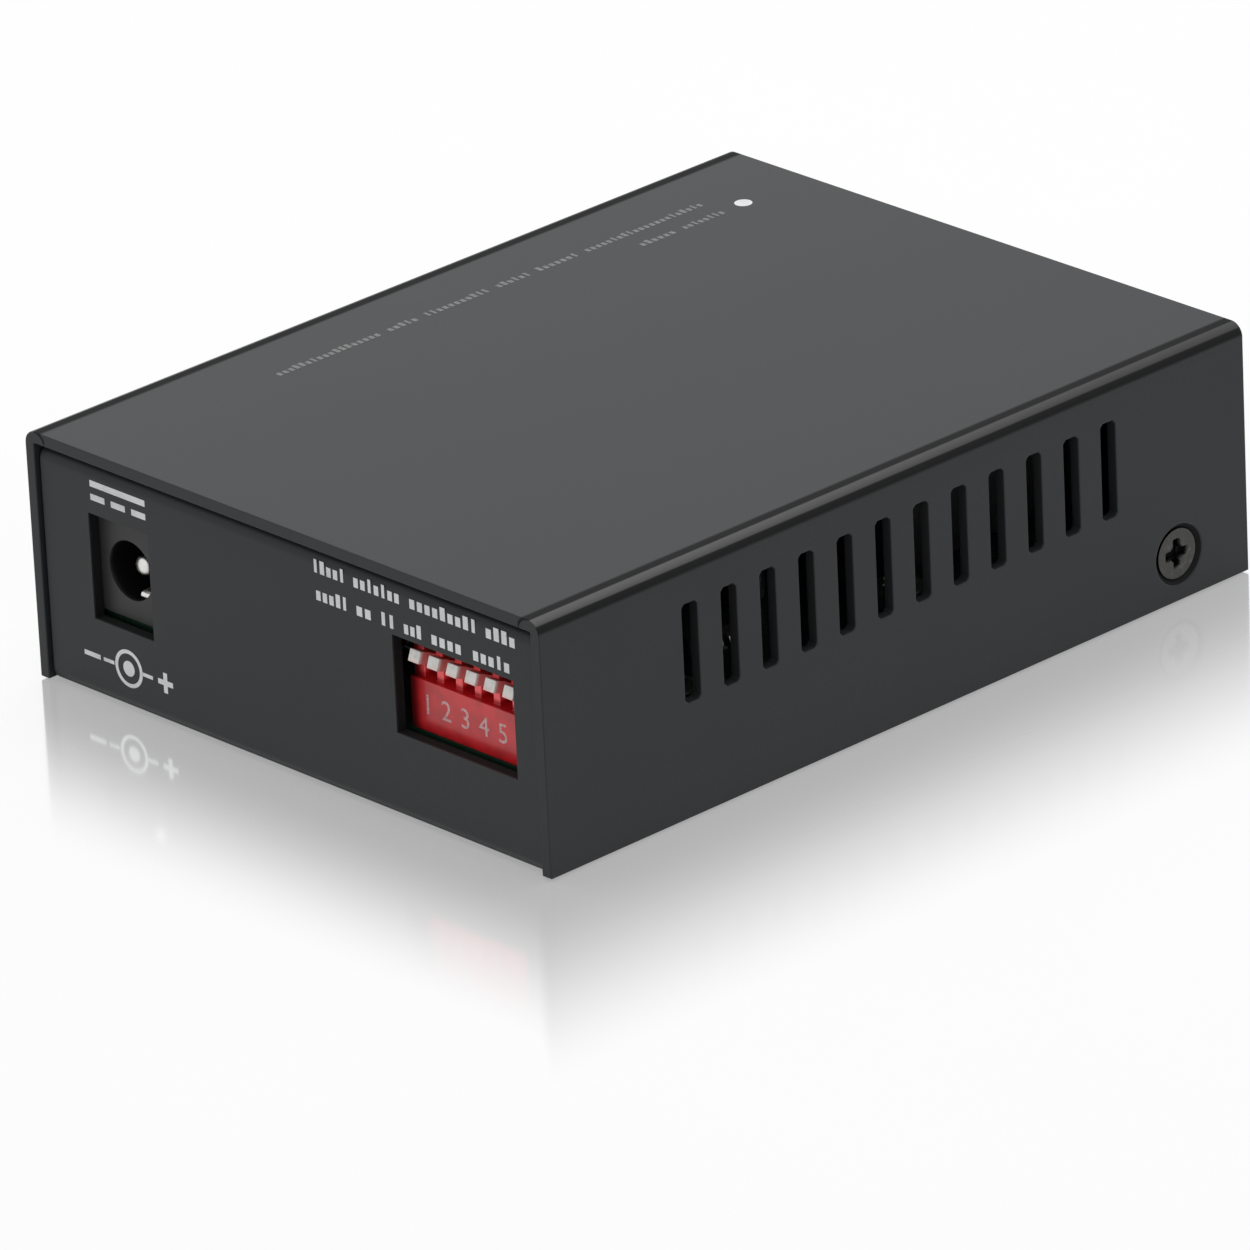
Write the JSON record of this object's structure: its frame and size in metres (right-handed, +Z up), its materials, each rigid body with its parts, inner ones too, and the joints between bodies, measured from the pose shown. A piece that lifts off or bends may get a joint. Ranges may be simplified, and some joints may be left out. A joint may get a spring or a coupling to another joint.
{
  "type": "fibre media converter",
  "caption": "Small black steel network box with a barrel power inlet and a red lever switch behind, network and duplex fibre sockets in front, vented sides.",
  "frame": {"origin": "middle of the underside, on the surface that the box stands on", "axes": "+Z up, -Y towards the front with the network and fibre sockets, +Y towards the rear with the power inlet and the lever switch, +X to the right seen from the front"},
  "size_m": [0.071, 0.094, 0.026],
  "materials": {
    "case_paint": "fine textured dark grey powder coat",
    "screw_black": "black zinc on steel",
    "plated_steel": "bright zinc plate",
    "board_green": "green solder mask on glass laminate",
    "inlet_black": "moulded black nylon",
    "contact_nickel": "nickel-plated contact",
    "switch_red": "moulded red housing",
    "lever_white": "moulded white lever",
    "socket_metal": "tin-plated socket shell",
    "contact_gold": "gold-plated wire",
    "port_black": "moulded black socket",
    "sleeve_ceramic": "zirconia sleeve",
    "lamp_green": "tinted lamp lens",
    "chip_black": "moulded epoxy",
    "solder_tin": "tinned lead",
    "ferrite_grey": "ferrite core",
    "can_sleeve": "shrunk capacitor sleeve"
  },
  "bodies": {
    "base": {"top_cover": "case_paint", "base_tray": "case_paint", "cover_screws": "screw_black", "cover_nuts": "plated_steel", "board_standoffs": "plated_steel", "board_screws": "plated_steel", "circuit_board": "board_green", "power_inlet_body": "inlet_black", "power_inlet_pin": "contact_nickel", "power_inlet_spring": "contact_nickel", "power_inlet_legs": "solder_tin", "switch_body": "switch_red", "switch_axle": "plated_steel", "switch_pins": "solder_tin", "network_shield": "socket_metal", "network_socket_body": "port_black", "network_contacts": "contact_gold", "network_pins": "solder_tin", "fibre_port_body": "port_black", "fibre_sleeves": "sleeve_ceramic", "fibre_latches": "port_black", "fibre_transceiver": "chip_black", "fibre_pins": "solder_tin", "status_light_block": "port_black", "status_lights": "lamp_green", "controller_chip": "chip_black", "controller_leads": "solder_tin", "network_transformer": "chip_black", "filter_capacitors": "can_sleeve", "power_coil": "ferrite_grey", "crystal_can": "socket_metal", "small_parts": "chip_black", "memory_chip": "chip_black", "power_regulator": "chip_black", "resistor_pack": "chip_black"},
    "lever_1": {"switch_lever_1": "lever_white"},
    "lever_2": {"switch_lever_2": "lever_white"},
    "lever_3": {"switch_lever_3": "lever_white"},
    "lever_4": {"switch_lever_4": "lever_white"},
    "lever_5": {"switch_lever_5": "lever_white"},
    "lever_6": {"switch_lever_6": "lever_white"}
  },
  "joints": [
    {"name": "lever_1_tilt", "type": "hinge", "parent": "base", "child": "lever_1", "pos_m": [-0.01725, 0.0395, 0.0148], "axis": [1, 0, 0], "range_deg": [-17, 0]},
    {"name": "lever_2_tilt", "type": "hinge", "parent": "base", "child": "lever_2", "pos_m": [-0.01979, 0.0395, 0.0148], "axis": [1, 0, 0], "range_deg": [-17, 0]},
    {"name": "lever_3_tilt", "type": "hinge", "parent": "base", "child": "lever_3", "pos_m": [-0.02233, 0.0395, 0.0148], "axis": [1, 0, 0], "range_deg": [-17, 0]},
    {"name": "lever_4_tilt", "type": "hinge", "parent": "base", "child": "lever_4", "pos_m": [-0.02487, 0.0395, 0.0148], "axis": [1, 0, 0], "range_deg": [-17, 0]},
    {"name": "lever_5_tilt", "type": "hinge", "parent": "base", "child": "lever_5", "pos_m": [-0.02741, 0.0395, 0.0148], "axis": [1, 0, 0], "range_deg": [-17, 0]},
    {"name": "lever_6_tilt", "type": "hinge", "parent": "base", "child": "lever_6", "pos_m": [-0.02995, 0.0395, 0.0148], "axis": [1, 0, 0], "range_deg": [-17, 0]}
  ]
}
